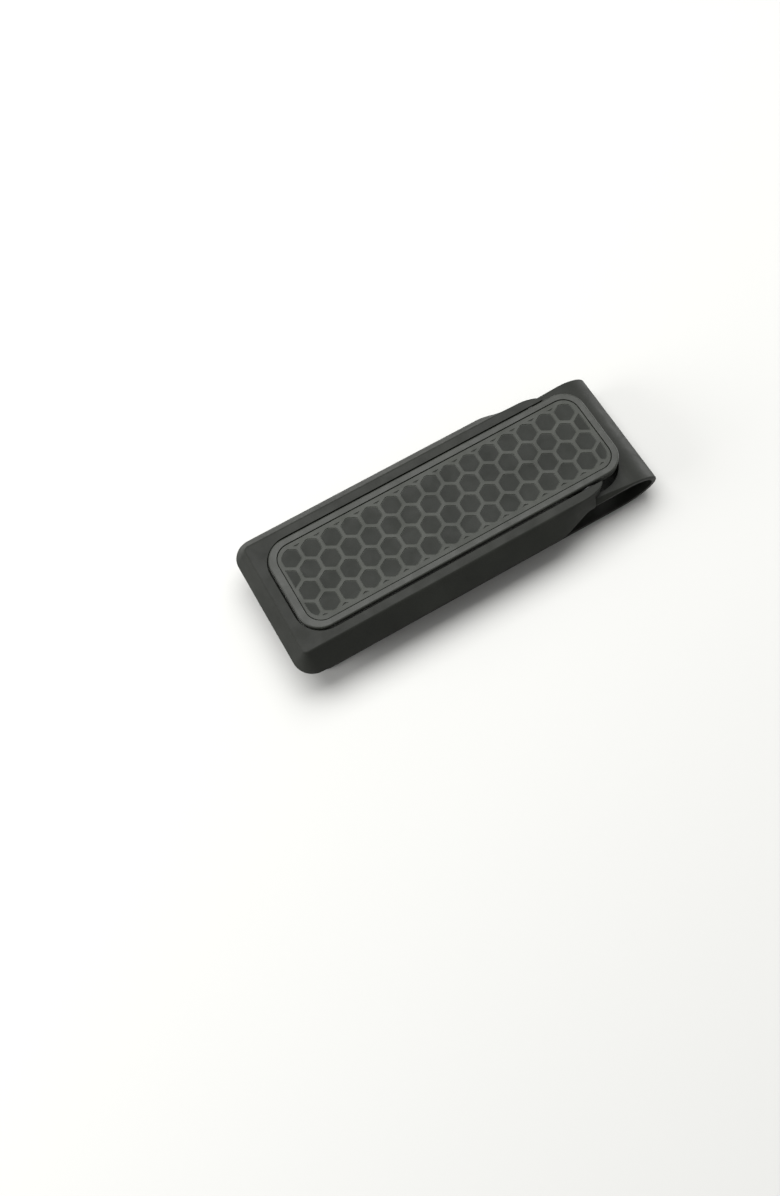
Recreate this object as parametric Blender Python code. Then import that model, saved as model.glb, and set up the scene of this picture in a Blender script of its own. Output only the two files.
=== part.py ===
"""Lever money clip: a one-piece spring-steel frame with a hinged lever in its window.

Row frame: +X runs along the clip towards the bend, +Y across it, +Z up from the
outer face of the back plate, with the origin under the middle of the clip.
Dimensions are in millimetres and become metres when a mesh is made.
"""

import math

import bmesh
import bpy

MM = 0.001

# Overall size and sheet
LENGTH = 59.07
WIDTH = 22.6
HEIGHT = 9.2
SHEET = 0.8
BAND_WIDTH = 19.2
X_FREE = -LENGTH / 2
X_BEND = LENGTH / 2

# Heights, all measured from the outer face of the back plate
LAND_Z = HEIGHT - 0.4
SKIRT_Z = HEIGHT - 3.7
BAND_TOP_Z = HEIGHT - 2.6
BAND_LOW_Z = BAND_TOP_Z - SHEET
BEND_RADIUS = BAND_TOP_Z / 2
BEND_REACH = 5.4
BEND_X = X_BEND - BEND_REACH
FACET_END = X_BEND - 3.2

# Raised tray of the frame
LAND_HALF = 9.05
EDGE_HEIGHT = 0.15
FREE_BEVEL = 1.7
TRAY_CORNER = 3.0
LAND_CORNER = 0.6
NARROWING = (11.465, 18.965)
RAIL_END = 20.6
RAIL_FOOT = 21.6
RAIL_TIP = (4.0, 1.37)
RAIL_BREAK = 18.6
WALL = 0.95
BOSS_START = 15.965

# Lever, its recess and the gap round it
LEVER_FREE = -26.1
LEVER_TAIL = 25.165
LEVER_HALF = 7.38
LEVER_CORNER = 3.4
LEVER_PLATE = 1.4
SIDE_GAP = 0.3
WINDOW_CORNER = 4.1
RECESS_WALL = 1.0
RECESS_FREE_WALL = 1.2
RECESS_DEPTH = 0.9
RECESS_CORNER = 2.5
FLANGE = (-22.935, 15.065)
FLANGE_THICK = 0.8
FLANGE_Z = 6.5
TOP_CHAMFER = 0.2

# Window under the lever's tail
BAY_START = 19.765
BAY_END = 25.565
BAY_HALF = 8.3
BAY_CORNER = 4.8
BAY_TOP_Z = 7.7

# Hinge
PIVOT_X = 18.465
PIVOT_Z = 7.4
PIN_RADIUS = 0.6
PIN_HALF = 8.25
BLIND_HOLE_HALF = 8.35
RUNNING_GAP = 0.08
LUG_RADIUS = 1.3
LUG_OUTER = LEVER_HALF - 0.02
LUG_WIDTH = 2.6
LUG_FLANKS = (0.8, 2.2)
WASHER_RADIUS = 1.25
WASHER_THICK = 0.2

# Inlay and its adhesive film
BOND_GAP = 0.05
FILM_THICK = 0.12
FILM_MARGIN = 0.4
INLAY_THICK = 0.6
INLAY_EDGE_GAP = 0.08

# Back plate
PLATE_FREE = X_FREE + 1.6
PLATE_CORNER = 3.2
EDGE_ROUND = 0.1

ARC_STEPS = 8
CURVE_STEPS = 12
ROUND_SIDES = 32


def material(name, colour, metallic, roughness):
    """A Principled material with the given colour, metallic value and roughness."""
    made = bpy.data.materials.new(name)
    made.use_nodes = True
    shader = made.node_tree.nodes["Principled BSDF"]
    shader.inputs["Base Color"].default_value = (*colour, 1.0)
    shader.inputs["Metallic"].default_value = metallic
    shader.inputs["Roughness"].default_value = roughness
    return made


def new_object(name, bm, finish=None, origin=(0.0, 0.0, 0.0)):
    """Turn a bmesh in millimetres into an object whose origin lies at the given point."""
    bmesh.ops.translate(bm, verts=bm.verts, vec=[-value for value in origin])
    bmesh.ops.scale(bm, verts=bm.verts, vec=(MM, MM, MM))
    bmesh.ops.recalc_face_normals(bm, faces=bm.faces)
    mesh = bpy.data.meshes.new(name)
    bm.to_mesh(mesh)
    bm.free()
    mesh.shade_smooth()
    mesh.set_sharp_from_angle(angle=math.radians(30))
    made = bpy.data.objects.new(name, mesh)
    made.location = [value * MM for value in origin]
    bpy.context.scene.collection.objects.link(made)
    if finish:
        mesh.materials.append(finish)
    return made


def loft(rings):
    """Closed skin over rings of equal point counts, capped at both ends."""
    bm = bmesh.new()
    rows = [[bm.verts.new(point) for point in ring] for ring in rings]
    count = len(rows[0])
    for lower, upper in zip(rows, rows[1:]):
        for i in range(count):
            j = (i + 1) % count
            bm.faces.new((lower[i], lower[j], upper[j], upper[i]))
    bm.faces.new(rows[0])
    bm.faces.new(rows[-1])
    return bm


def arc(centre, radii, start, stop, steps=ARC_STEPS):
    """Points on an elliptical arc, in degrees, ends included."""
    points = []
    for i in range(steps + 1):
        angle = math.radians(start + (stop - start) * i / steps)
        points.append((centre[0] + radii[0] * math.cos(angle), centre[1] + radii[1] * math.sin(angle)))
    return points


def rounded_outline(x_low, x_high, half, corner_low, corner_high):
    """Plan outline with one corner radius at the free end and one at the bend end."""
    outline = []
    outline += arc((x_high - corner_high, half - corner_high), (corner_high,) * 2, 0, 90)
    outline += arc((x_low + corner_low, half - corner_low), (corner_low,) * 2, 90, 180)
    outline += arc((x_low + corner_low, corner_low - half), (corner_low,) * 2, 180, 270)
    outline += arc((x_high - corner_high, corner_high - half), (corner_high,) * 2, 270, 360)
    return outline


def prism(outline, z_low, z_high, chamfer=0.0):
    """Upright prism, with an optional chamfer round its top edge."""
    rings = [[(x, y, z_low) for x, y in outline]]
    if chamfer:
        rings.append([(x, y, z_high - chamfer) for x, y in outline])
        rings.append([(x, y, z_high) for x, y in inset(outline, chamfer)])
    else:
        rings.append([(x, y, z_high) for x, y in outline])
    return loft(rings)


def inset(outline, distance):
    """Move a convex counter-clockwise outline inwards by a small distance."""
    moved = []
    count = len(outline)
    for i, (x, y) in enumerate(outline):
        before = outline[i - 1]
        after = outline[(i + 1) % count]
        along = (after[0] - before[0], after[1] - before[1])
        size = math.hypot(*along)
        moved.append((x - along[1] / size * distance, y + along[0] / size * distance))
    return moved


def cylinder_y(radius, y_low, y_high, x=PIVOT_X, z=PIVOT_Z, circumscribed=False):
    """Cylinder along Y, drawn round the circle instead of inside it for a bore."""
    if circumscribed:
        radius = radius / math.cos(math.pi / ROUND_SIDES)
    rings = []
    for y in (y_low, y_high):
        ring = []
        for i in range(ROUND_SIDES):
            angle = math.tau * i / ROUND_SIDES
            ring.append((x + radius * math.cos(angle), y, z + radius * math.sin(angle)))
        rings.append(ring)
    return loft(rings)


def boolean(target, tool_bm, operation):
    """Cut or join a closed body with the exact solver, then apply the result."""
    tool = new_object("tool", tool_bm)
    modifier = target.modifiers.new("tool", "BOOLEAN")
    modifier.operation = operation
    modifier.solver = "EXACT"
    modifier.object = tool
    graph = bpy.context.evaluated_depsgraph_get()
    result = bpy.data.meshes.new_from_object(target.evaluated_get(graph))
    target.modifiers.clear()
    old = target.data
    target.data = result
    bpy.data.meshes.remove(old)
    bpy.data.objects.remove(tool)
    return target


def tidy(made, name):
    """Weld the slivers that booleans leave, and shade round faces smooth."""
    bm = bmesh.new()
    bm.from_mesh(made.data)
    bmesh.ops.remove_doubles(bm, verts=bm.verts, dist=0.002 * MM)
    bmesh.ops.dissolve_degenerate(bm, edges=bm.edges, dist=0.001 * MM)
    bm.to_mesh(made.data)
    bm.free()
    made.name = name
    made.data.shade_smooth()
    made.data.set_sharp_from_angle(angle=math.radians(30))
    return made


def ease(x, low, high):
    """Smooth step from 0 at low to 1 at high."""
    t = min(max((x - low) / (high - low), 0.0), 1.0)
    return t * t * (3 - 2 * t)


def foot_half(x):
    """Half-width of the tray's lower edge, narrowing to the band."""
    return (WIDTH + (BAND_WIDTH - WIDTH) * ease(x, *NARROWING)) / 2


def foot_z(x):
    """Height of the tray's lower edge, which lifts to the band's underside."""
    return SKIRT_Z + (BAND_LOW_Z - SKIRT_Z) * ease(x, *NARROWING)


def tray_outline(level, inner=0.0):
    """Plan points of the raised tray: level 0 is its foot and 1 its flat land."""
    x_low = X_FREE + FREE_BEVEL * level + inner
    x_high = RAIL_FOOT + (RAIL_END - RAIL_FOOT) * level
    corner = TRAY_CORNER + (LAND_CORNER - TRAY_CORNER) * level
    tip = RAIL_TIP
    if inner:
        x_high = BOSS_START
        corner = max(corner - inner, 0.6)
        tip = (0.3, 0.3)

    def half(x):
        return foot_half(x) * (1 - level) + LAND_HALF * level - inner

    end_x = x_high - tip[0]
    side = arc((end_x, half(end_x) - tip[1]), tip, 0, 90)
    low = NARROWING[0]
    for i in range(1, CURVE_STEPS + 1):
        x = end_x + (low - end_x) * i / CURVE_STEPS
        side.append((x, half(x)))
    side += arc((x_low + corner, half(x_low) - corner), (corner,) * 2, 90, 180)
    mirrored = [(x, -y) for x, y in reversed(side)]
    return side + mirrored


def raised_tray():
    """Outer form of the tray: upright lower edge, then a bevel up to the land."""
    foot = tray_outline(0)
    rings = [
        [(x, y, SKIRT_Z - 1) for x, y in foot],
        [(x, y, foot_z(x) + EDGE_HEIGHT) for x, y in foot],
        [(x, y, LAND_Z) for x, y in tray_outline(1)],
    ]
    return loft(rings)


def tray_hollow():
    """Space under the land, one sheet thickness inside the tray."""
    foot = tray_outline(0, WALL)
    rings = [
        [(x, y, SKIRT_Z - 2) for x, y in foot],
        [(x, y, foot_z(x) + EDGE_HEIGHT) for x, y in foot],
        [(x, y, LAND_Z - SHEET) for x, y in tray_outline(1, 0.55)],
    ]
    return loft(rings)


def below_tray():
    """Cutter that trims the tray's lower edge to its lifting line."""
    profile = [(X_FREE - 1, SKIRT_Z)]
    for i in range(CURVE_STEPS + 1):
        x = NARROWING[0] + (NARROWING[1] - NARROWING[0]) * i / CURVE_STEPS
        profile.append((x, foot_z(x)))
    profile += [(BEND_X, BAND_LOW_Z), (BEND_X, SKIRT_Z - 3), (X_FREE - 1, SKIRT_Z - 3)]
    return loft([[(x, y, z) for x, z in profile] for y in (-WIDTH, WIDTH)])


def beyond_rail(side):
    """Cutter that ends the tray's bevel square and leaves the tip of its land as an upright finger."""
    trim = 0.05
    middle = (RAIL_END - RAIL_TIP[0], LAND_HALF - RAIL_TIP[1])
    radii = (RAIL_TIP[0] - trim, RAIL_TIP[1] - trim)
    stop = math.degrees(math.acos((RAIL_BREAK - middle[0]) / radii[0]))
    inner = LUG_OUTER - LUG_WIDTH
    outline = [(middle[0] + radii[0], inner)]
    outline += arc(middle, radii, 0, stop)
    outline += [(RAIL_BREAK, WIDTH), (BEND_X, WIDTH), (BEND_X, inner)]
    return prism([(x, side * y) for x, y in outline], SKIRT_Z - 2, HEIGHT + 1)


def strip_section(half, outer, inner, facet):
    """Six-sided section of the band between two points on its outer and inner skins."""
    def skin(depth, y):
        x = outer[0] + (inner[0] - outer[0]) * depth / SHEET
        z = outer[1] + (inner[1] - outer[1]) * depth / SHEET
        return (x, y, z)

    return [
        skin(0, half - facet[0]), skin(facet[1], half), skin(SHEET, half),
        skin(SHEET, -half), skin(facet[1], -half), skin(0, facet[0] - half),
    ]


def bend_point(angle):
    """Points on the outer and inner skins of the bend, an ellipse of even thickness."""
    across = (math.cos(angle), math.sin(angle))
    outer = (BEND_X + BEND_REACH * across[0], BEND_RADIUS + BEND_RADIUS * across[1])
    normal = (across[0] / BEND_REACH, across[1] / BEND_RADIUS)
    size = math.hypot(*normal) / SHEET
    return outer, (outer[0] - normal[0] / size, outer[1] - normal[1] / size)


def band_facet(x):
    """Facet along the band's upper edges, which fades out towards the bend."""
    fade = 1 - ease(x, NARROWING[1], FACET_END)
    return (EDGE_ROUND + 0.6 * fade, EDGE_ROUND + 0.4 * fade)


def wrap_strip():
    """Band, bend and back plate as one strip of sheet, from the tray to the free end."""
    rings = []
    half = BAND_WIDTH / 2
    for i in range(ARC_STEPS):
        x = BOSS_START + (BEND_X - BOSS_START) * i / ARC_STEPS
        rings.append(strip_section(half, (x, BAND_TOP_Z), (x, BAND_LOW_Z), band_facet(x)))
    bend_steps = 2 * ARC_STEPS
    for i in range(bend_steps + 1):
        outer, inner = bend_point(math.pi / 2 - math.pi * i / bend_steps)
        facet = band_facet(outer[0]) if i < bend_steps / 2 else (EDGE_ROUND, EDGE_ROUND)
        rings.append(strip_section(half, outer, inner, facet))
    for i in range(ARC_STEPS + 1):
        angle = math.radians(85 * i / ARC_STEPS)
        x = PLATE_FREE + PLATE_CORNER * (1 - math.sin(angle))
        narrow = half - PLATE_CORNER * (1 - math.cos(angle))
        rings.append(strip_section(narrow, (x, 0), (x, SHEET), (EDGE_ROUND, EDGE_ROUND)))
    return loft(rings)


def make_frame(finish):
    """Spring-steel frame: tray with its window, hinge bosses, band, bend and back plate."""
    frame = new_object("frame", raised_tray(), finish)
    boolean(frame, tray_hollow(), "DIFFERENCE")
    boolean(frame, below_tray(), "DIFFERENCE")
    for side in (-1, 1):
        boolean(frame, beyond_rail(side), "DIFFERENCE")
    boolean(frame, wrap_strip(), "UNION")
    window = rounded_outline(
        LEVER_FREE - SIDE_GAP, BAY_START + 2, LEVER_HALF + SIDE_GAP, WINDOW_CORNER, SIDE_GAP
    )
    boolean(frame, prism(window, SKIRT_Z - 1, HEIGHT + 1), "DIFFERENCE")
    bay = rounded_outline(BAY_START, BAY_END, BAY_HALF, SIDE_GAP, BAY_CORNER)
    boolean(frame, prism(bay, SKIRT_Z - 1, BAY_TOP_Z), "DIFFERENCE")
    hole = PIN_RADIUS + RUNNING_GAP
    drill = cylinder_y(hole, -BLIND_HOLE_HALF, BLIND_HOLE_HALF, circumscribed=True)
    boolean(frame, drill, "DIFFERENCE")
    return tidy(frame, "frame")


def make_lever(finish, pivot):
    """Lever: recessed plate with stiffening flanges and two hinge lugs."""
    outline = rounded_outline(LEVER_FREE, LEVER_TAIL, LEVER_HALF, LEVER_CORNER, LEVER_CORNER)
    lever = new_object("lever", prism(outline, HEIGHT - LEVER_PLATE, HEIGHT, TOP_CHAMFER), finish)
    overlap = 0.2
    for side in (-1, 1):
        outer = side * (LEVER_HALF - 0.2)
        inner = side * (LEVER_HALF - 0.2 - FLANGE_THICK)
        low, high = FLANGE
        wall_top = HEIGHT - LEVER_PLATE + overlap
        slope = wall_top - FLANGE_Z
        profile = [(low, wall_top), (low + slope, FLANGE_Z), (high, FLANGE_Z), (high + slope, wall_top)]
        wall = loft([[(x, y, z) for x, z in profile] for y in (outer, inner)])
        boolean(lever, wall, "UNION")
        lug_low, lug_high = sorted((side * LUG_OUTER, side * (LUG_OUTER - LUG_WIDTH)))
        boolean(lever, lug(lug_low, lug_high), "UNION")
    recess = rounded_outline(
        LEVER_FREE + RECESS_FREE_WALL, LEVER_TAIL - RECESS_WALL, LEVER_HALF - RECESS_WALL,
        RECESS_CORNER, RECESS_CORNER,
    )
    boolean(lever, prism(recess, HEIGHT - RECESS_DEPTH, HEIGHT + 1), "DIFFERENCE")
    bore = cylinder_y(PIN_RADIUS + RUNNING_GAP, -WIDTH, WIDTH, circumscribed=True)
    boolean(lever, bore, "DIFFERENCE")
    tidy(lever, "lever")
    hang_on(lever, pivot)
    return lever


def lug(y_low, y_high):
    """Hinge lug: a half-round below the pin that blends into the plate above."""
    top = HEIGHT - LEVER_PLATE + 0.2
    profile = [(PIVOT_X - LUG_RADIUS - LUG_FLANKS[0], top)]
    profile += arc((PIVOT_X, PIVOT_Z), (LUG_RADIUS,) * 2, 180, 360)
    profile += [(PIVOT_X + LUG_RADIUS + LUG_FLANKS[1], top)]
    return loft([[(x, y, z) for x, z in profile] for y in (y_low, y_high)])


def make_inlay(finish, pivot):
    """Flat inlay panel, bonded in the lever's recess."""
    low = LEVER_FREE + RECESS_FREE_WALL + INLAY_EDGE_GAP
    high = LEVER_TAIL - RECESS_WALL - INLAY_EDGE_GAP
    half = LEVER_HALF - RECESS_WALL - INLAY_EDGE_GAP
    corner = RECESS_CORNER - INLAY_EDGE_GAP
    outline = rounded_outline(low, high, half, corner, corner)
    floor = HEIGHT - RECESS_DEPTH + FILM_THICK + 2 * BOND_GAP
    inlay = new_object("inlay_panel", prism(outline, floor, floor + INLAY_THICK, 0.05), finish)
    hang_on(inlay, pivot)
    return inlay


def make_film(finish, pivot):
    """Adhesive film between the inlay and the floor of the recess."""
    margin = RECESS_WALL + FILM_MARGIN
    corner = RECESS_CORNER - FILM_MARGIN
    low = LEVER_FREE + RECESS_FREE_WALL + FILM_MARGIN
    outline = rounded_outline(low, LEVER_TAIL - margin, LEVER_HALF - margin, corner, corner)
    floor = HEIGHT - RECESS_DEPTH + BOND_GAP
    film = new_object("inlay_adhesive", prism(outline, floor, floor + FILM_THICK), finish)
    hang_on(film, pivot)
    return film


def make_pin(finish):
    """Hinge pin, held at both ends in the blind holes of the frame."""
    skin = cylinder_y(PIN_RADIUS, -PIN_HALF, PIN_HALF)
    return new_object("hinge_pin", skin, finish, (PIVOT_X, 0, PIVOT_Z))


def make_washer(name, side, finish):
    """Thin washer that centres the lever between the hinge bosses."""
    middle = side * (LUG_OUTER + LEVER_HALF + SIDE_GAP) / 2
    low = middle - WASHER_THICK / 2
    high = middle + WASHER_THICK / 2
    washer = new_object(name, cylinder_y(WASHER_RADIUS, low, high), finish, (PIVOT_X, middle, PIVOT_Z))
    hole = cylinder_y(PIN_RADIUS + RUNNING_GAP, low - 1, high + 1, circumscribed=True)
    return tidy(boolean(washer, hole, "DIFFERENCE"), name)


def hang_on(made, pivot):
    """Parent an object modelled in the row frame to the hinge's empty."""
    made.parent = pivot
    made.matrix_parent_inverse = pivot.matrix_world.inverted()


def make_pivot():
    """Empty on the hinge axis, which carries everything that turns with the lever."""
    pivot = bpy.data.objects.new("lever_pivot", None)
    pivot.location = (PIVOT_X * MM, 0, PIVOT_Z * MM)
    bpy.context.scene.collection.objects.link(pivot)
    bpy.context.view_layer.update()
    return pivot


def main():
    for old in list(bpy.data.objects):
        bpy.data.objects.remove(old)
    black_steel = material("black_steel", (0.028, 0.028, 0.025), 0.55, 0.42)
    black_lever = material("black_lever", (0.034, 0.034, 0.030), 0.50, 0.45)
    dark_inlay = material("dark_inlay", (0.026, 0.027, 0.024), 0.20, 0.55)
    clear_film = material("adhesive", (0.55, 0.55, 0.50), 0.0, 0.35)
    bare_steel = material("bare_steel", (0.42, 0.42, 0.42), 1.0, 0.30)
    black_acetal = material("black_acetal", (0.02, 0.02, 0.02), 0.0, 0.45)
    pivot = make_pivot()
    make_frame(black_steel)
    make_lever(black_lever, pivot)
    make_inlay(dark_inlay, pivot)
    make_film(clear_film, pivot)
    make_pin(bare_steel)
    make_washer("hinge_washer_near", -1, black_acetal)
    make_washer("hinge_washer_far", 1, black_acetal)


main()
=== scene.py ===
"""Looks of the lever money clip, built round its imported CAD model.

Lengths are in millimetres in the clip's row frame and become metres in new_object:
+X runs along the clip towards the bend, +Y across it, +Z up from the back plate.
"""

import math

import bmesh
import bpy
from mathutils import Matrix, Quaternion, Vector
from mathutils.geometry import delaunay_2d_cdt


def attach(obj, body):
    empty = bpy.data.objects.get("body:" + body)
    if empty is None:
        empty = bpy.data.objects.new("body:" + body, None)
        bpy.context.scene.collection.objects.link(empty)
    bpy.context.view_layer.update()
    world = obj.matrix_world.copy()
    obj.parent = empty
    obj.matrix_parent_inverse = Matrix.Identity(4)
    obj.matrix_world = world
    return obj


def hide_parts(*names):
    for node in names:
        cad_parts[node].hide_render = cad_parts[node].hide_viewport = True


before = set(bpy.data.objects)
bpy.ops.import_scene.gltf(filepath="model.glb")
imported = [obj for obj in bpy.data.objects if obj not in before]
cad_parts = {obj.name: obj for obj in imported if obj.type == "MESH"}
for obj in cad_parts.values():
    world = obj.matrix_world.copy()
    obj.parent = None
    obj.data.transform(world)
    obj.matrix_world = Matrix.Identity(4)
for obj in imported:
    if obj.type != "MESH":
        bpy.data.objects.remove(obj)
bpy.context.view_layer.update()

MM = 0.001

# Overall size and sheet, as in the CAD
LENGTH = 59.07
WIDTH = 22.6
HEIGHT = 9.2
SHEET = 0.8
BAND_WIDTH = 19.2
X_FREE = -LENGTH / 2
X_BEND = LENGTH / 2
LAND_Z = HEIGHT - 0.4
SKIRT_Z = HEIGHT - 3.7
BAND_TOP_Z = HEIGHT - 2.6
BAND_LOW_Z = BAND_TOP_Z - SHEET
BEND_RADIUS = BAND_TOP_Z / 2
BEND_REACH = 5.4
BEND_X = X_BEND - BEND_REACH
BAND_FACET = (0.6, 0.4)
FACET_END = X_BEND - 3.2

# Raised tray
LAND_HALF = 9.05
EDGE_HEIGHT = 0.15
FREE_BEVEL = 1.7
TRAY_CORNER = 3.0
LAND_CORNER = 0.6
LEAST_CORNER = 0.3
CREASE = 0.1
CREASE_STEPS = 8
NARROWING = (11.465, 18.965)
RAIL_END = 20.6
RAIL_FOOT = 21.6
RAIL_TIP = (4.0, 1.37)
RAIL_BREAK = 18.6
WALL = 0.95
HOLLOW_CORNER = 0.6
HOLLOW_MARGIN = 0.55
BOSS_START = 15.965

# Lever
LEVER_FREE = -26.1
LEVER_TAIL = 25.165
LEVER_HALF = 7.38
LEVER_CORNER = 3.4
LEVER_PLATE = 1.4
LEVER_ROUND = 0.25
SIDE_GAP = 0.3
WINDOW_CORNER = 4.1
RECESS_WALL = 1.0
RECESS_FREE_WALL = 1.2
RECESS_DEPTH = 0.9
RECESS_CORNER = 2.5
FLANGE = (-22.935, 15.065)
FLANGE_THICK = 0.8
FLANGE_INSET = 0.2
FLANGE_Z = 6.5
# How far flanges and lugs reach into the plate, so that they fuse with it
FUSE = 0.2

# Window under the lever's tail
BAY_START = 19.765
BAY_END = 25.565
BAY_HALF = 8.3
BAY_CORNER = 4.8
BAY_TOP_Z = 7.7

# Hinge
PIVOT_X = 18.465
PIVOT_Z = 7.4
PIN_RADIUS = 0.6
PIN_HALF = 8.25
PIN_CHAMFER = 0.12
BLIND_HOLE_HALF = 8.35
RUNNING_GAP = 0.08
LUG_RADIUS = 1.3
LUG_OUTER = LEVER_HALF - 0.02
LUG_WIDTH = 2.6
LUG_FLANKS = (0.8, 2.2)
WASHER_RADIUS = 1.25
WASHER_THICK = 0.2

# Inlay
FILM_STACK = 0.22
INLAY_THICK = 0.6
INLAY_EDGE_GAP = 0.08
INLAY_ROUND = 0.07
INLAY_ROUND_STEPS = 3
PITCH = 3.2
CELL_GAP = 0.42
CELL_CORNER = 0.38
CELL_CORNER_STEPS = 4
CELL_DEPTH = 0.09
FIRST_CELL = (-22.835, -21.235)
COLUMNS = 16
ROW_Y = (4.157, 1.386, -1.386, -4.157)
BORDER = 0.4
SIDE_BORDER = 0.66
LEAST_CELL = 0.10
# Cell wall from its rim down: distance inwards, and share of the depth
CELL_WALL = ((0.015, 0.06), (0.035, 0.3), (0.05, 0.7), (0.07, 0.94), (0.11, 1.0))

# Back plate
PLATE_FREE = X_FREE + 1.6
PLATE_CORNER = 3.2
EDGE_ROUND = 0.1

# Rounding of the crisp edges
FRAME_EDGE = 0.06
LEVER_EDGE = 0.05
WASHER_EDGE = 0.03

# Width of the narrow strips that keep flat faces flat beside rounded edges
HOLD = 0.03

# How far a cutter runs past what it cuts
CLEAR = 1.0

# Mesh clean-up: points this close are merged, and edges this short dissolved
MERGE_DISTANCE = 0.002
SLIVER = 0.001
SMOOTH_ANGLE = 14

ARC_STEPS = 16
CURVE_STEPS = 32
ROUND_SIDES = 64


def new_object(name, bm, finish=None):
    """Turn a bmesh in millimetres into an object that is still in millimetres."""
    bmesh.ops.recalc_face_normals(bm, faces=bm.faces)
    mesh = bpy.data.meshes.new(name)
    bm.to_mesh(mesh)
    bm.free()
    made = bpy.data.objects.new(name, mesh)
    bpy.context.scene.collection.objects.link(made)
    if finish:
        mesh.materials.append(finish)
    return made


def loft(rings):
    """Closed skin over rings of equal point counts, capped at both ends."""
    bm = bmesh.new()
    rows = [[bm.verts.new(point) for point in ring] for ring in rings]
    count = len(rows[0])
    for lower, upper in zip(rows, rows[1:]):
        for i in range(count):
            j = (i + 1) % count
            bm.faces.new((lower[i], lower[j], upper[j], upper[i]))
    bm.faces.new(rows[0])
    bm.faces.new(rows[-1])
    return bm


def arc(centre, radii, start, stop, steps=ARC_STEPS):
    """Points on an elliptical arc, in degrees, ends included."""
    points = []
    for i in range(steps + 1):
        angle = math.radians(start + (stop - start) * i / steps)
        points.append((centre[0] + radii[0] * math.cos(angle), centre[1] + radii[1] * math.sin(angle)))
    return points


def rounded_outline(x_low, x_high, half, corner_low, corner_high):
    """Plan outline with one corner radius at the free end and one at the bend end."""
    outline = []
    outline += arc((x_high - corner_high, half - corner_high), (corner_high,) * 2, 0, 90)
    outline += arc((x_low + corner_low, half - corner_low), (corner_low,) * 2, 90, 180)
    outline += arc((x_low + corner_low, corner_low - half), (corner_low,) * 2, 180, 270)
    outline += arc((x_high - corner_high, corner_high - half), (corner_high,) * 2, 270, 360)
    return outline


def inset(outline, distance):
    """Move a counter-clockwise outline inwards by a small distance."""
    moved = []
    count = len(outline)
    for i, (x, y) in enumerate(outline):
        before = outline[i - 1]
        after = outline[(i + 1) % count]
        along = (after[0] - before[0], after[1] - before[1])
        size = math.hypot(*along)
        moved.append((x - along[1] / size * distance, y + along[0] / size * distance))
    return moved


def prism(outline, z_low, z_high, top_round=0.0, steps=8):
    """Upright prism, with an optional rounding of its top edge."""
    rings = [[(x, y, z_low) for x, y in outline]]
    if top_round:
        rings.append([(x, y, z_high - top_round - HOLD) for x, y in outline])
        for i in range(steps + 1):
            angle = math.pi / 2 * i / steps
            narrowed = inset(outline, top_round * (1 - math.cos(angle)))
            z = z_high - top_round * (1 - math.sin(angle))
            rings.append([(x, y, z) for x, y in narrowed])
        rings.append([(x, y, z_high) for x, y in inset(outline, top_round + HOLD)])
    else:
        rings.append([(x, y, z_high) for x, y in outline])
    return loft(rings)


def cylinder_y(radius, y_low, y_high, chamfer=0.0, x=PIVOT_X, z=PIVOT_Z):
    """Cylinder along Y, with an optional chamfer at both ends."""
    stations = [(y_low, radius), (y_high, radius)]
    if chamfer:
        stations = [
            (y_low, radius - chamfer), (y_low + chamfer, radius),
            (y_high - chamfer, radius), (y_high, radius - chamfer),
        ]
    turns = [math.tau * i / ROUND_SIDES for i in range(ROUND_SIDES)]
    rings = []
    for y, size in stations:
        rings.append([(x + size * math.cos(turn), y, z + size * math.sin(turn)) for turn in turns])
    return loft(rings)


def boolean(target, tool_bm, operation):
    """Cut or join a closed body with the exact solver, then apply the result."""
    tool = new_object("tool", tool_bm)
    modifier = target.modifiers.new("tool", "BOOLEAN")
    modifier.operation = operation
    modifier.solver = "EXACT"
    modifier.object = tool
    apply_modifiers(target)
    bpy.data.objects.remove(tool)
    return target


def apply_modifiers(target):
    """Bake the modifiers into the mesh."""
    graph = bpy.context.evaluated_depsgraph_get()
    result = bpy.data.meshes.new_from_object(target.evaluated_get(graph))
    target.modifiers.clear()
    old = target.data
    target.data = result
    bpy.data.meshes.remove(old)


def to_metres(made):
    """Scale a finished mesh from millimetres to metres."""
    made.data.transform(Matrix.Scale(MM, 4))
    return made


def shade(made):
    """Smooth the curved faces and keep the flat ones flat."""
    made.data.shade_smooth()
    made.data.set_sharp_from_angle(angle=math.radians(SMOOTH_ANGLE))
    return made


def finish_edges(made, width, sharp=32, segments=3):
    """Round the crisp edges a little, as blasting and coating do, and shade the rest smooth."""
    bm = bmesh.new()
    bm.from_mesh(made.data)
    bmesh.ops.remove_doubles(bm, verts=bm.verts, dist=MERGE_DISTANCE)
    bmesh.ops.dissolve_degenerate(bm, edges=bm.edges, dist=SLIVER)
    wide = [face for face in bm.faces if len(face.verts) > 4]
    bmesh.ops.triangulate(bm, faces=wide, ngon_method="BEAUTY")
    bm.to_mesh(made.data)
    bm.free()
    bevel = made.modifiers.new("edges", "BEVEL")
    bevel.width = width
    bevel.segments = segments
    bevel.limit_method = "ANGLE"
    bevel.angle_limit = math.radians(sharp)
    bevel.use_clamp_overlap = False
    apply_modifiers(made)
    return shade(to_metres(made))


def ease(x, low, high):
    """Smooth step from 0 at low to 1 at high."""
    t = min(max((x - low) / (high - low), 0.0), 1.0)
    return t * t * (3 - 2 * t)


def foot_half(x):
    """Half-width of the tray's lower edge, narrowing to the band."""
    return (WIDTH + (BAND_WIDTH - WIDTH) * ease(x, *NARROWING)) / 2


def foot_z(x):
    """Height of the tray's lower edge, which lifts to the band's underside."""
    return SKIRT_Z + (BAND_LOW_Z - SKIRT_Z) * ease(x, *NARROWING)


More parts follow.
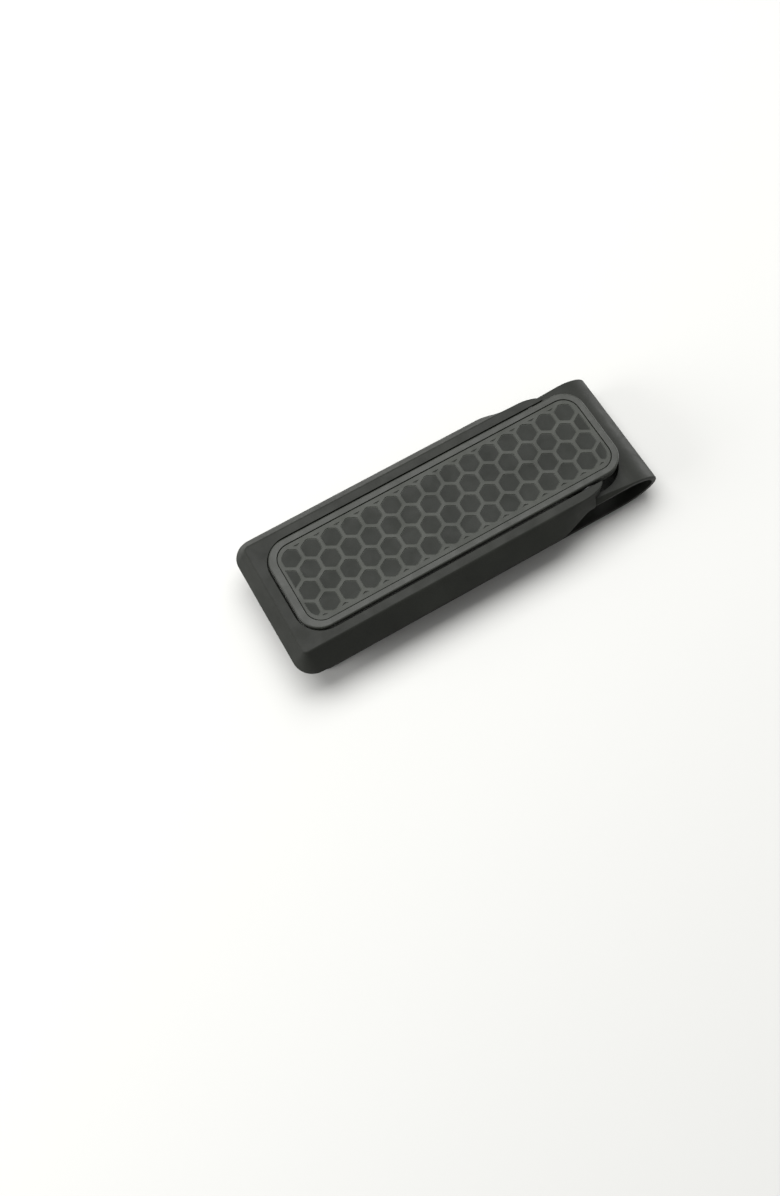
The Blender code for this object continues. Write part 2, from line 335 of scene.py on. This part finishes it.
def tray_outline(level, inner=0.0):
    """Plan points of the raised tray: level 0 is its foot and 1 its flat land."""
    x_low = X_FREE + FREE_BEVEL * level + inner
    x_high = RAIL_FOOT + (RAIL_END - RAIL_FOOT) * level
    corner = max(TRAY_CORNER + (LAND_CORNER - TRAY_CORNER) * level, LEAST_CORNER)
    tip = RAIL_TIP
    if inner:
        x_high = BOSS_START
        corner = max(corner - inner, HOLLOW_CORNER)
        tip = (LEAST_CORNER, LEAST_CORNER)

    def half(x):
        return foot_half(x) * (1 - level) + LAND_HALF * level - inner

    end_x = x_high - tip[0]
    side = arc((end_x, half(end_x) - tip[1]), tip, 0, 90)
    low = NARROWING[0]
    for i in range(1, CURVE_STEPS + 1):
        x = end_x + (low - end_x) * i / CURVE_STEPS
        side.append((x, half(x)))
    side += arc((x_low + corner, half(x_low) - corner), (corner,) * 2, 90, 180)
    mirrored = [(x, -y) for x, y in reversed(side)]
    return side + mirrored


def raised_tray():
    """Outer form of the tray: a rounded foot, a bevel, a softened crease and the land."""
    foot = tray_outline(0)
    rings = [[(x, y, SKIRT_Z - CLEAR) for x, y in foot]]
    # Narrow strips on both sides of the crease keep bevel and land flat
    strip = 0.02
    before_crease = 1 - strip - CREASE
    stations = [(0.0, 0.0), (0.3, 0.3), (0.6, 0.6), (before_crease, before_crease)]
    for i in range(CREASE_STEPS + 1):
        t = i / CREASE_STEPS
        level = (1 - t) ** 2 * (1 - CREASE) + 2 * t * (1 - t) + t * t * (1 + CREASE)
        rise = (1 - t) ** 2 * (1 - CREASE) + 2 * t * (1 - t) + t * t
        stations.append((level, rise))
    stations.append((1 + strip + CREASE, 1.0))
    for level, rise in stations:
        outline = tray_outline(level)
        ring = []
        for (x, y), (foot_x, _) in zip(outline, foot):
            low = foot_z(foot_x) + EDGE_HEIGHT
            ring.append((x, y, low + (LAND_Z - low) * rise))
        rings.append(ring)
    return loft(rings)


def tray_hollow():
    """Space under the land, one sheet thickness inside the tray."""
    foot = tray_outline(0, WALL)
    rings = [
        [(x, y, SKIRT_Z - 2 * CLEAR) for x, y in foot],
        [(x, y, foot_z(x) + EDGE_HEIGHT) for x, y in foot],
        [(x, y, LAND_Z - SHEET) for x, y in tray_outline(1, HOLLOW_MARGIN)],
    ]
    return loft(rings)


def below_tray():
    """Cutter that trims the tray's lower edge to its lifting line."""
    profile = [(X_FREE - CLEAR, SKIRT_Z)]
    for i in range(CURVE_STEPS + 1):
        x = NARROWING[0] + (NARROWING[1] - NARROWING[0]) * i / CURVE_STEPS
        profile.append((x, foot_z(x)))
    bottom = SKIRT_Z - 3 * CLEAR
    profile += [(BEND_X, BAND_LOW_Z), (BEND_X, bottom), (X_FREE - CLEAR, bottom)]
    return loft([[(x, y, z) for x, z in profile] for y in (-WIDTH, WIDTH)])


def beyond_rail(side):
    """Cutter that ends the tray's bevel square and leaves the tip of its land as an upright finger."""
    trim = 0.05
    middle = (RAIL_END - RAIL_TIP[0], LAND_HALF - RAIL_TIP[1])
    radii = (RAIL_TIP[0] - trim, RAIL_TIP[1] - trim)
    stop = math.degrees(math.acos((RAIL_BREAK - middle[0]) / radii[0]))
    inner = LUG_OUTER - LUG_WIDTH
    outline = [(middle[0] + radii[0], inner)]
    outline += arc(middle, radii, 0, stop)
    outline += [(RAIL_BREAK, WIDTH), (BEND_X, WIDTH), (BEND_X, inner)]
    return prism([(x, side * y) for x, y in outline], SKIRT_Z - 2 * CLEAR, HEIGHT + CLEAR)


def strip_section(half, outer, inner, facet):
    """Section of the band between two points on its outer and inner skins."""
    def skin(depth, y):
        x = outer[0] + (inner[0] - outer[0]) * depth / SHEET
        z = outer[1] + (inner[1] - outer[1]) * depth / SHEET
        return (x, y, z)

    return [
        skin(0, half - facet[0]), skin(facet[1], half), skin(SHEET, half),
        skin(SHEET, -half), skin(facet[1], -half), skin(0, facet[0] - half),
    ]


def bend_point(angle):
    """Points on the outer and inner skins of the bend, an ellipse of even thickness."""
    across = (math.cos(angle), math.sin(angle))
    outer = (BEND_X + BEND_REACH * across[0], BEND_RADIUS + BEND_RADIUS * across[1])
    normal = (across[0] / BEND_REACH, across[1] / BEND_RADIUS)
    size = math.hypot(*normal) / SHEET
    return outer, (outer[0] - normal[0] / size, outer[1] - normal[1] / size)


def band_facet(x):
    """Facet along the band's upper edges, which fades out towards the bend."""
    fade = 1 - ease(x, NARROWING[1], FACET_END)
    return (EDGE_ROUND + BAND_FACET[0] * fade, EDGE_ROUND + BAND_FACET[1] * fade)


def wrap_strip():
    """Band, bend and back plate as one strip of sheet, from the tray to the free end."""
    rings = []
    half = BAND_WIDTH / 2
    for i in range(ARC_STEPS + 1):
        x = BOSS_START + (BEND_X - HOLD - BOSS_START) * i / ARC_STEPS
        rings.append(strip_section(half, (x, BAND_TOP_Z), (x, BAND_LOW_Z), band_facet(x)))
    bend_steps = 4 * ARC_STEPS
    for i in range(bend_steps + 1):
        outer, inner = bend_point(math.pi / 2 - math.pi * i / bend_steps)
        facet = band_facet(outer[0]) if i < bend_steps / 2 else (EDGE_ROUND, EDGE_ROUND)
        rings.append(strip_section(half, outer, inner, facet))
    rings.append(strip_section(half, (BEND_X - HOLD, 0), (BEND_X - HOLD, SHEET), (EDGE_ROUND,) * 2))
    # The corners stop just short of a quarter turn, where the flat end takes over
    corner_turn = 85
    for i in range(ARC_STEPS + 1):
        angle = math.radians(corner_turn * i / ARC_STEPS)
        x = PLATE_FREE + PLATE_CORNER * (1 - math.sin(angle))
        narrow = half - PLATE_CORNER * (1 - math.cos(angle))
        rings.append(strip_section(narrow, (x, 0), (x, SHEET), (EDGE_ROUND, EDGE_ROUND)))
    return loft(rings)


def make_frame(finish):
    """Spring-steel frame: tray with its window, hinge bosses, band, bend and back plate."""
    made = new_object("frame_shell", raised_tray(), finish)
    boolean(made, tray_hollow(), "DIFFERENCE")
    boolean(made, below_tray(), "DIFFERENCE")
    for side in (-1, 1):
        boolean(made, beyond_rail(side), "DIFFERENCE")
    boolean(made, wrap_strip(), "UNION")
    window_end = BAY_START + 2 * CLEAR
    window = rounded_outline(
        LEVER_FREE - SIDE_GAP, window_end, LEVER_HALF + SIDE_GAP, WINDOW_CORNER, SIDE_GAP
    )
    boolean(made, prism(window, SKIRT_Z - CLEAR, HEIGHT + CLEAR), "DIFFERENCE")
    bay = rounded_outline(BAY_START, BAY_END, BAY_HALF, SIDE_GAP, BAY_CORNER)
    boolean(made, prism(bay, SKIRT_Z - CLEAR, BAY_TOP_Z), "DIFFERENCE")
    drill = cylinder_y(PIN_RADIUS + RUNNING_GAP, -BLIND_HOLE_HALF, BLIND_HOLE_HALF)
    boolean(made, drill, "DIFFERENCE")
    return finish_edges(made, FRAME_EDGE)


def make_lever(finish):
    """Lever: recessed plate with stiffening flanges and two hinge lugs."""
    outline = rounded_outline(LEVER_FREE, LEVER_TAIL, LEVER_HALF, LEVER_CORNER, LEVER_CORNER)
    made = new_object("lever_body", prism(outline, HEIGHT - LEVER_PLATE, HEIGHT, LEVER_ROUND), finish)
    for side in (-1, 1):
        outer = side * (LEVER_HALF - FLANGE_INSET)
        inner = side * (LEVER_HALF - FLANGE_INSET - FLANGE_THICK)
        low, high = FLANGE
        wall_top = HEIGHT - LEVER_PLATE + FUSE
        slope = wall_top - FLANGE_Z
        profile = [(low, wall_top), (low + slope, FLANGE_Z), (high, FLANGE_Z), (high + slope, wall_top)]
        boolean(made, loft([[(x, y, z) for x, z in profile] for y in (outer, inner)]), "UNION")
        lug_low, lug_high = sorted((side * LUG_OUTER, side * (LUG_OUTER - LUG_WIDTH)))
        boolean(made, lug(lug_low, lug_high), "UNION")
    recess = rounded_outline(
        LEVER_FREE + RECESS_FREE_WALL, LEVER_TAIL - RECESS_WALL, LEVER_HALF - RECESS_WALL,
        RECESS_CORNER, RECESS_CORNER,
    )
    boolean(made, prism(recess, HEIGHT - RECESS_DEPTH, HEIGHT + CLEAR), "DIFFERENCE")
    boolean(made, cylinder_y(PIN_RADIUS + RUNNING_GAP, -WIDTH, WIDTH), "DIFFERENCE")
    return finish_edges(made, LEVER_EDGE)


def lug(y_low, y_high):
    """Hinge lug: a half-round below the pin that blends into the plate above."""
    top = HEIGHT - LEVER_PLATE + FUSE
    profile = [(PIVOT_X - LUG_RADIUS - LUG_FLANKS[0], top)]
    profile += arc((PIVOT_X, PIVOT_Z), (LUG_RADIUS,) * 2, 180, 360)
    profile += [(PIVOT_X + LUG_RADIUS + LUG_FLANKS[1], top)]
    return loft([[(x, y, z) for x, z in profile] for y in (y_low, y_high)])


def cell_outline(x, y):
    """Hexagon with flats across the clip's length and softly rounded corners."""
    reach = (PITCH - CELL_GAP) / 2
    size = (reach - CELL_CORNER) / math.cos(math.radians(30))
    points = []
    for k in range(6):
        start = 60 * k
        towards = math.radians(start + 30)
        centre = (x + size * math.cos(towards), y + size * math.sin(towards))
        points += arc(centre, (CELL_CORNER,) * 2, start, start + 60, CELL_CORNER_STEPS)
    return points


def clip_to(outline, limit):
    """Cut a convex outline back to a convex counter-clockwise limit."""
    result = list(outline)
    for i, start in enumerate(limit):
        end = limit[(i + 1) % len(limit)]
        along = (end[0] - start[0], end[1] - start[1])
        kept = []
        for j, point in enumerate(result):
            following = result[(j + 1) % len(result)]
            here = along[0] * (point[1] - start[1]) - along[1] * (point[0] - start[0])
            there = along[0] * (following[1] - start[1]) - along[1] * (following[0] - start[0])
            if here >= 0:
                kept.append(point)
            if (here > 0) != (there > 0) and here != there:
                t = here / (here - there)
                kept.append(tuple(a + (b - a) * t for a, b in zip(point, following)))
        result = kept
        if len(result) < 3:
            return []
    return result


def area_of(outline):
    """Area inside a plan outline."""
    total = 0.0
    for i, (x, y) in enumerate(outline):
        after = outline[(i + 1) % len(outline)]
        total += x * after[1] - after[0] * y
    return total / 2


def without_repeats(outline, least=0.03):
    """Drop points that lie almost on their neighbour."""
    kept = []
    for point in outline:
        if not kept or math.dist(point, kept[-1]) > least:
            kept.append(point)
    while len(kept) > 2 and math.dist(kept[0], kept[-1]) <= least:
        kept.pop()
    return kept


def shrink(outline, distance):
    """Draw a convex outline in towards its middle by about the given distance."""
    count = len(outline)
    middle = (sum(x for x, _ in outline) / count, sum(y for _, y in outline) / count)
    reach = math.sqrt(area_of(outline) / math.pi)
    scale = max(1 - distance / reach, 0.3)
    return [(middle[0] + (x - middle[0]) * scale, middle[1] + (y - middle[1]) * scale) for x, y in outline]


def honeycomb(field):
    """Plan outlines of the cells, cut back to the field inside the border."""
    step = PITCH * math.sin(math.radians(60))
    cells = []
    for row in range(-1, len(ROW_Y) + 1):
        y = ROW_Y[0] - row * step
        first = FIRST_CELL[row % 2]
        for column in range(-1, COLUMNS):
            shape = without_repeats(clip_to(cell_outline(first + column * PITCH, y), field))
            if len(shape) > 2 and area_of(shape) > LEAST_CELL:
                cells.append(shape)
    return cells


def make_inlay(finish, cell_finish):
    """Inlay panel with a honeycomb of shallow pockets inside a plain border."""
    low = LEVER_FREE + RECESS_FREE_WALL + INLAY_EDGE_GAP
    high = LEVER_TAIL - RECESS_WALL - INLAY_EDGE_GAP
    half = LEVER_HALF - RECESS_WALL - INLAY_EDGE_GAP
    corner = RECESS_CORNER - INLAY_EDGE_GAP
    underside = HEIGHT - RECESS_DEPTH + FILM_STACK
    top = underside + INLAY_THICK
    outline = rounded_outline(low, high, half, corner, corner)
    field_corner = corner - BORDER
    field = rounded_outline(low + BORDER, high - BORDER, half - SIDE_BORDER, field_corner, field_corner)
    cells = honeycomb(field)
    loops = [inset(outline, INLAY_ROUND)] + cells
    points = []
    faces = []
    for loop in loops:
        faces.append(list(range(len(points), len(points) + len(loop))))
        points += [Vector(point) for point in loop]
    inside_only = 1
    tolerance = 1e-6
    flat, _, triangles, origins, _, owners = delaunay_2d_cdt(points, [], faces, inside_only, tolerance)
    bm = bmesh.new()
    verts = [bm.verts.new((x, y, top)) for x, y in flat]
    for triangle, owner in zip(triangles, owners):
        if owner == [0]:
            bm.faces.new([verts[k] for k in triangle])
    placed = {source: verts[k] for k, sources in enumerate(origins) for source in sources}

    def skirt(ring, levels, end_material):
        for level_outline, z in levels:
            lower = [bm.verts.new((x, y, z)) for x, y in level_outline]
            for i in range(len(ring)):
                j = (i + 1) % len(ring)
                bm.faces.new((ring[i], ring[j], lower[j], lower[i]))
            ring = lower
        bm.faces.new(ring).material_index = end_material

    rounded = []
    for i in range(1, INLAY_ROUND_STEPS + 1):
        angle = math.pi / 2 * i / INLAY_ROUND_STEPS
        narrowed = inset(outline, INLAY_ROUND * (1 - math.sin(angle)))
        rounded.append((narrowed, top - INLAY_ROUND * (1 - math.cos(angle))))
    skirt([placed[k] for k in faces[0]], rounded + [(outline, underside)], 0)
    for shape, indices in zip(cells, faces[1:]):
        levels = [(shrink(shape, inward), top - CELL_DEPTH * down) for inward, down in CELL_WALL]
        skirt([placed[k] for k in indices], levels, 1)
    made = new_object("inlay_honeycomb", bm, finish)
    made.data.materials.append(cell_finish)
    return shade(to_metres(made))


def make_pin(finish):
    """Hinge pin with small chamfers, held in the blind holes of the frame."""
    body = cylinder_y(PIN_RADIUS, -PIN_HALF, PIN_HALF, PIN_CHAMFER)
    made = new_object("hinge_pin_ground", body, finish)
    return shade(to_metres(made))


def make_washer(name, side, finish):
    """Thin washer that centres the lever between the hinge bosses."""
    middle = side * (LUG_OUTER + LEVER_HALF + SIDE_GAP) / 2
    low = middle - WASHER_THICK / 2
    high = middle + WASHER_THICK / 2
    made = new_object(name, cylinder_y(WASHER_RADIUS, low, high), finish)
    boolean(made, cylinder_y(PIN_RADIUS + RUNNING_GAP, low - CLEAR, high + CLEAR), "DIFFERENCE")
    return finish_edges(made, WASHER_EDGE, segments=2)


def socket(shader, name, value):
    """Set a constant on a Principled socket."""
    shader.inputs[name].default_value = value


def coated(name, dark, light, roughness, grain=0.5, coat_height=0.012, specular=0.5):
    """Satin finish: a fine orange-peel grain with faint cloudiness and handling marks.

    Noise scales are per metre, and the coat's height is in millimetres.
    """
    made = bpy.data.materials.new(name)
    made.use_nodes = True
    tree = made.node_tree
    shader = tree.nodes["Principled BSDF"]
    socket(shader, "Metallic", 0.0)
    socket(shader, "Specular IOR Level", specular)
    coords = tree.nodes.new("ShaderNodeTexCoord")

    def noise(scale, detail, distortion=0.0):
        node = tree.nodes.new("ShaderNodeTexNoise")
        node.inputs["Scale"].default_value = scale
        node.inputs["Detail"].default_value = detail
        node.inputs["Distortion"].default_value = distortion
        tree.links.new(coords.outputs["Object"], node.inputs["Vector"])
        return node.outputs["Fac"]

    def ramp(source, low, high, start, stop):
        node = tree.nodes.new("ShaderNodeValToRGB")
        node.color_ramp.elements[0].position = start
        node.color_ramp.elements[1].position = stop
        node.color_ramp.elements[0].color = low
        node.color_ramp.elements[1].color = high
        tree.links.new(source, node.inputs["Fac"])
        return node.outputs["Color"]

    def grey(value):
        return (value, value, value, 1.0)

    fine = noise(9000.0, 2.0)
    cloud = noise(160.0, 3.0)
    smear = noise(420.0, 4.0, 0.6)
    colour = tree.nodes.new("ShaderNodeMix")
    colour.data_type = "RGBA"
    colour.inputs["A"].default_value = (*dark, 1.0)
    colour.inputs["B"].default_value = (*light, 1.0)
    blend = tree.nodes.new("ShaderNodeMath")
    blend.operation = "MULTIPLY_ADD"
    tree.links.new(fine, blend.inputs[0])
    blend.inputs[1].default_value = grain
    tree.links.new(cloud, blend.inputs[2])
    clamp = ramp(blend.outputs[0], grey(0.0), grey(1.0), 0.45, 1.05)
    tree.links.new(clamp, colour.inputs["Factor"])
    tree.links.new(colour.outputs["Result"], shader.inputs["Base Color"])
    shine = ramp(smear, grey(roughness - 0.05), grey(roughness + 0.06), 0.35, 0.7)
    tree.links.new(shine, shader.inputs["Roughness"])
    bump = tree.nodes.new("ShaderNodeBump")
    bump.inputs["Strength"].default_value = 0.35
    bump.inputs["Distance"].default_value = coat_height * MM
    tree.links.new(fine, bump.inputs["Height"])
    tree.links.new(bump.outputs["Normal"], shader.inputs["Normal"])
    return made


def ground_steel(name):
    """Bare pin steel with fine turning lines round its axis."""
    made = bpy.data.materials.new(name)
    made.use_nodes = True
    tree = made.node_tree
    shader = tree.nodes["Principled BSDF"]
    socket(shader, "Metallic", 1.0)
    socket(shader, "Base Color", (0.42, 0.42, 0.41, 1.0))
    coords = tree.nodes.new("ShaderNodeTexCoord")
    wave = tree.nodes.new("ShaderNodeTexWave")
    wave.bands_direction = "Y"
    wave.inputs["Scale"].default_value = 2600.0
    wave.inputs["Distortion"].default_value = 2.0
    wave.inputs["Detail"].default_value = 3.0
    tree.links.new(coords.outputs["Object"], wave.inputs["Vector"])
    spread = tree.nodes.new("ShaderNodeMapRange")
    spread.inputs["To Min"].default_value = 0.24
    spread.inputs["To Max"].default_value = 0.40
    tree.links.new(wave.outputs["Fac"], spread.inputs["Value"])
    tree.links.new(spread.outputs["Result"], shader.inputs["Roughness"])
    bump = tree.nodes.new("ShaderNodeBump")
    bump.inputs["Strength"].default_value = 0.2
    bump.inputs["Distance"].default_value = 0.004 * MM
    tree.links.new(wave.outputs["Fac"], bump.inputs["Height"])
    tree.links.new(bump.outputs["Normal"], shader.inputs["Normal"])
    return made


def floor_material():
    """Plain pale matt surface."""
    made = bpy.data.materials.new("floor_pale")
    made.use_nodes = True
    shader = made.node_tree.nodes["Principled BSDF"]
    socket(shader, "Base Color", (0.53, 0.53, 0.515, 1.0))
    socket(shader, "Roughness", 0.8)
    return made


def make_stage():
    """Pale floor under the clip, far wider than the view."""
    bm = bmesh.new()
    reach = 600.0
    drop = -0.02
    corners = ((-reach, -reach), (reach, -reach), (reach, reach), (-reach, reach))
    bm.faces.new([bm.verts.new((x, y, drop)) for x, y in corners])
    to_metres(new_object("floor", bm, floor_material()))


def softbox(name, position, aim, size, power):
    """Rectangular area light aimed at a point, its lengths in millimetres and its power in watts."""
    light = bpy.data.lights.new(name, "AREA")
    light.shape = "RECTANGLE"
    light.size = size[0] * MM
    light.size_y = size[1] * MM
    light.energy = power
    made = bpy.data.objects.new(name, light)
    made.location = Vector(position) * MM
    back = Vector(position) - Vector(aim)
    made.rotation_mode = "QUATERNION"
    made.rotation_quaternion = back.to_track_quat("Z", "Y")
    bpy.context.scene.collection.objects.link(made)


def make_lights():
    """Soft studio light, mostly from above and beyond, and a low strip past the bend."""
    world = bpy.data.worlds.new("studio")
    bpy.context.scene.world = world
    world.use_nodes = True
    background = world.node_tree.nodes["Background"]
    background.inputs["Color"].default_value = (1.0, 1.0, 1.0, 1.0)
    background.inputs["Strength"].default_value = 0.3
    softbox("key", (10, 160, 420), (0, 0, 0), (560, 340), 3.7)
    softbox("fill", (-330, 60, 150), (-20, 0, 5), (240, 160), 0.9)
    softbox("rim", (400, 30, 28), (25, 0, 5), (300, 44), 1.0)


def make_camera():
    """Camera above the free end, rolled a little, as the clip is seen in its picture."""
    data = bpy.data.cameras.new("camera")
    sensor = 36.0
    data.lens = 34.6
    data.sensor_width = sensor
    data.sensor_height = sensor
    data.sensor_fit = "AUTO"
    data.clip_start = 0.001
    data.clip_end = 10.0
    camera = bpy.data.objects.new("camera", data)
    camera.location = Vector((-37.545, -61.26, 153.89)) * MM
    azimuth = math.radians(-23.84)
    elevation = math.radians(68.08)
    back = Vector((
        math.sin(azimuth) * math.cos(elevation),
        -math.cos(azimuth) * math.cos(elevation),
        math.sin(elevation),
    ))
    camera.rotation_mode = "QUATERNION"
    roll = Quaternion((0, 0, 1), math.radians(-6.45))
    camera.rotation_quaternion = back.to_track_quat("Z", "Y") @ roll
    bpy.context.scene.collection.objects.link(camera)
    bpy.context.scene.camera = camera


def main():
    """Build the pieces, put each on its body and light the scene."""
    black_steel = coated(
        "black_steel", (0.011, 0.0118, 0.0098), (0.018, 0.0193, 0.016), 0.54, specular=0.15
    )
    black_lever = coated(
        "black_lever", (0.019, 0.0205, 0.017), (0.027, 0.029, 0.0238), 0.48, specular=0.29
    )
    inlay_grid = coated(
        "inlay_grid", (0.024, 0.026, 0.0215), (0.034, 0.0368, 0.030), 0.55,
        grain=0.4, coat_height=0.006, specular=0.27,
    )
    inlay_cell = coated(
        "inlay_cell", (0.009, 0.0102, 0.0082), (0.015, 0.0165, 0.0136), 0.55,
        grain=0.8, coat_height=0.008, specular=0.14,
    )
    acetal = coated(
        "black_acetal", (0.012, 0.012, 0.012), (0.020, 0.020, 0.020), 0.45, grain=0.4, coat_height=0.006
    )
    film = coated(
        "adhesive_film", (0.45, 0.45, 0.40), (0.60, 0.60, 0.54), 0.35, grain=0.4, coat_height=0.010
    )
    steel = ground_steel("bare_steel")

    shell = make_frame(black_steel)
    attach(shell, "frame")
    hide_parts("frame")

    body = make_lever(black_lever)
    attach(body, "lever")
    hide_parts("lever")

    inlay = make_inlay(inlay_grid, inlay_cell)
    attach(inlay, "lever")
    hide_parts("inlay_panel")

    pin = make_pin(steel)
    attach(pin, "frame")
    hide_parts("hinge_pin")

    for name, side in (("near", -1), ("far", 1)):
        washer = make_washer("washer_" + name, side, acetal)
        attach(washer, "frame")
        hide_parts("hinge_washer_" + name)

    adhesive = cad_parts["inlay_adhesive"]
    for slot in adhesive.material_slots:
        slot.material = film

    make_stage()
    make_lights()
    make_camera()
    bpy.context.scene.view_settings.view_transform = "Standard"


main()
